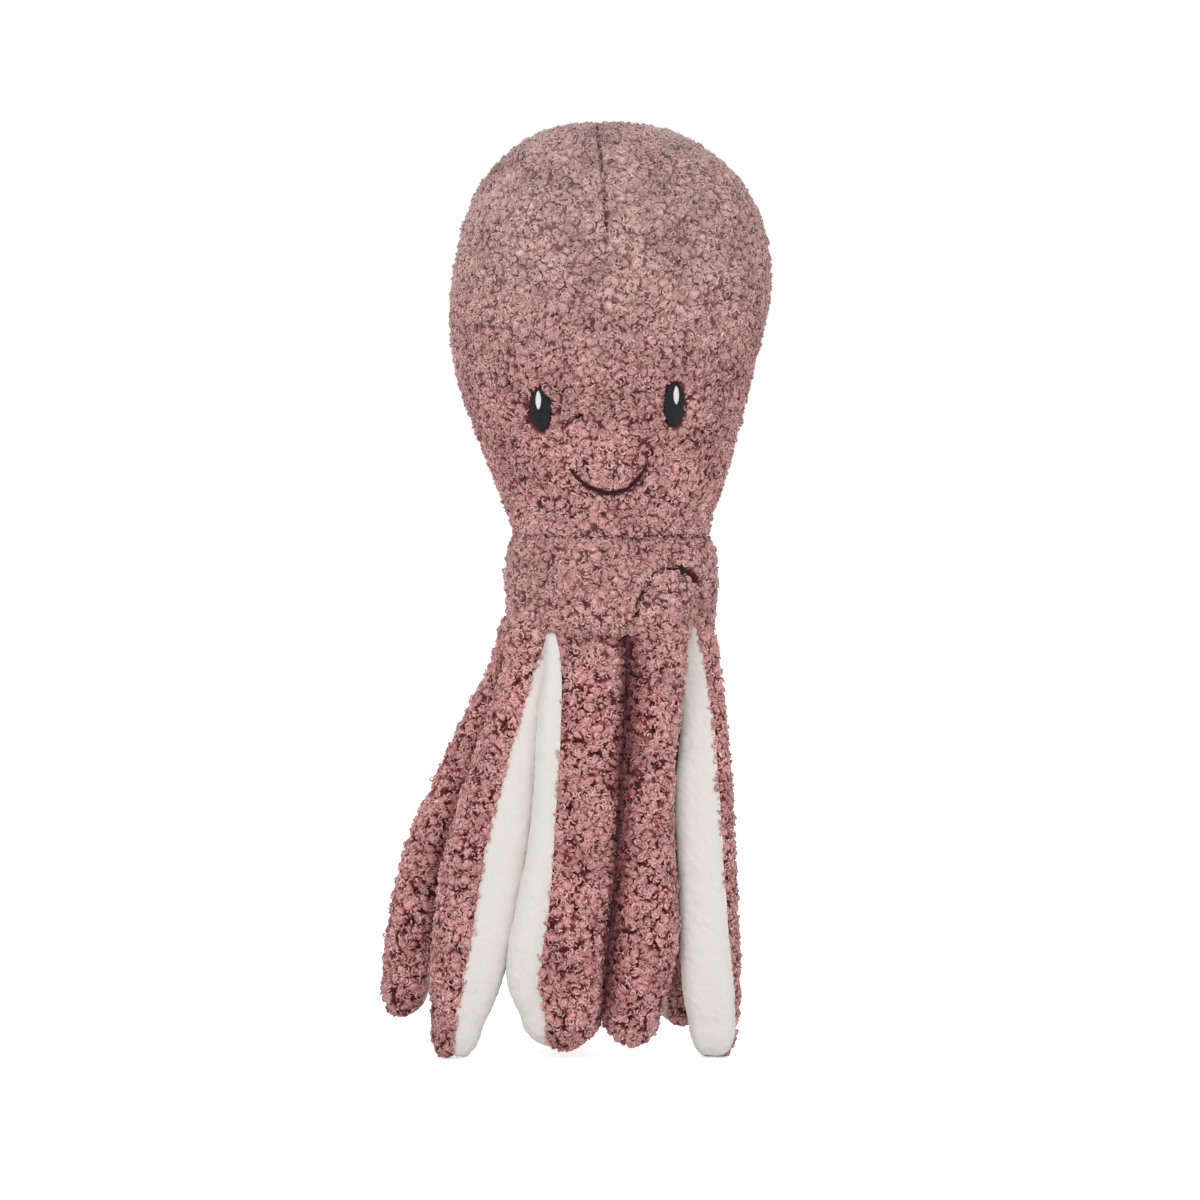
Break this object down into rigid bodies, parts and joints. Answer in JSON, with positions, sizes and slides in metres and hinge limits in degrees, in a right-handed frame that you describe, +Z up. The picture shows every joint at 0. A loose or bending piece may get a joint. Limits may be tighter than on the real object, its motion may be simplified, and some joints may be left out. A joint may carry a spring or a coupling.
{
  "type": "plush octopus",
  "caption": "Stuffed octopus toy with a tall bulb head, embroidered eyes and smile, a short torso and hanging arms with pale plush undersides.",
  "frame": {"origin": "on the floor under the middle of the bounding box", "axes": "+Z up from the arm tips to the crown; the face looks towards -Y; +X is to the viewer's right"},
  "size_m": [0.1386, 0.094, 0.3362],
  "materials": {
    "rose_boucle": "matte",
    "white_plush": "matte",
    "fibre_filling": "matte",
    "dark_thread": "satin",
    "white_thread": "satin"
  },
  "bodies": {
    "torso": {"torso_cover_front": "rose_boucle", "torso_cover_back": "rose_boucle", "base_panel": "white_plush", "torso_stuffing": "fibre_filling"},
    "head": {"head_cover_front": "rose_boucle", "head_cover_back": "rose_boucle", "head_stuffing": "fibre_filling", "eye_left": "dark_thread", "eye_right": "dark_thread", "eye_left_highlight": "white_thread", "eye_right_highlight": "white_thread", "mouth_stitch": "dark_thread"},
    "arm_front_centre": {"arm_front_centre_outer": "rose_boucle", "arm_front_centre_underside": "white_plush", "arm_front_centre_stuffing": "fibre_filling"},
    "arm_front_left": {"arm_front_left_outer": "rose_boucle", "arm_front_left_underside": "white_plush", "arm_front_left_stuffing": "fibre_filling"},
    "arm_front_right": {"arm_front_right_outer": "rose_boucle", "arm_front_right_underside": "white_plush", "arm_front_right_stuffing": "fibre_filling"},
    "arm_back_centre": {"arm_back_centre_outer": "rose_boucle", "arm_back_centre_underside": "white_plush", "arm_back_centre_stuffing": "fibre_filling"},
    "arm_right": {"arm_right_outer": "rose_boucle", "arm_right_underside": "white_plush", "arm_right_stuffing": "fibre_filling"},
    "arm_back_left": {"arm_back_left_outer": "rose_boucle", "arm_back_left_underside": "white_plush", "arm_back_left_stuffing": "fibre_filling"},
    "arm_far_left": {"arm_far_left_outer": "rose_boucle", "arm_far_left_underside": "white_plush", "arm_far_left_stuffing": "fibre_filling"},
    "arm_back_right": {"arm_back_right_outer": "rose_boucle", "arm_back_right_underside": "white_plush", "arm_back_right_stuffing": "fibre_filling"}
  },
  "joints": [
    {"name": "neck_tilt", "type": "hinge", "parent": "torso", "child": "head", "pos_m": [0.01212, 0, 0.176], "axis": [0, 1, 0], "range_deg": [-15, 15]},
    {"name": "arm_front_centre_lift", "type": "hinge", "parent": "torso", "child": "arm_front_centre", "pos_m": [0.0043, -0.01999, 0.142], "axis": [-1, 0, 0], "range_deg": [0, 60]},
    {"name": "arm_front_left_lift", "type": "hinge", "parent": "torso", "child": "arm_front_left", "pos_m": [-0.01737, -0.01001, 0.142], "axis": [-0.766, 0.6428, 0], "range_deg": [0, 60]},
    {"name": "arm_front_right_lift", "type": "hinge", "parent": "torso", "child": "arm_front_right", "pos_m": [0.02914, -0.01953, 0.154], "axis": [-0.9848, -0.1736, 0], "range_deg": [0, 60]},
    {"name": "arm_back_centre_lift", "type": "hinge", "parent": "torso", "child": "arm_back_centre", "pos_m": [0.02213, 0.01999, 0.142], "axis": [1, 0, 0], "range_deg": [0, 60]},
    {"name": "arm_right_lift", "type": "hinge", "parent": "torso", "child": "arm_right", "pos_m": [0.04411, -0.00701, 0.142], "axis": [-0.6428, -0.766, 0], "range_deg": [0, 60]},
    {"name": "arm_back_left_lift", "type": "hinge", "parent": "torso", "child": "arm_back_left", "pos_m": [0.00011, 0.01999, 0.142], "axis": [0.9659, 0.2588, 0], "range_deg": [0, 60]},
    {"name": "arm_far_left_lift", "type": "hinge", "parent": "torso", "child": "arm_far_left", "pos_m": [-0.01887, 0.008, 0.142], "axis": [0.0349, 0.9994, 0], "range_deg": [0, 50]},
    {"name": "arm_back_right_lift", "type": "hinge", "parent": "torso", "child": "arm_back_right", "pos_m": [0.04211, 0.011, 0.142], "axis": [0.6428, -0.766, 0], "range_deg": [0, 60]}
  ]
}
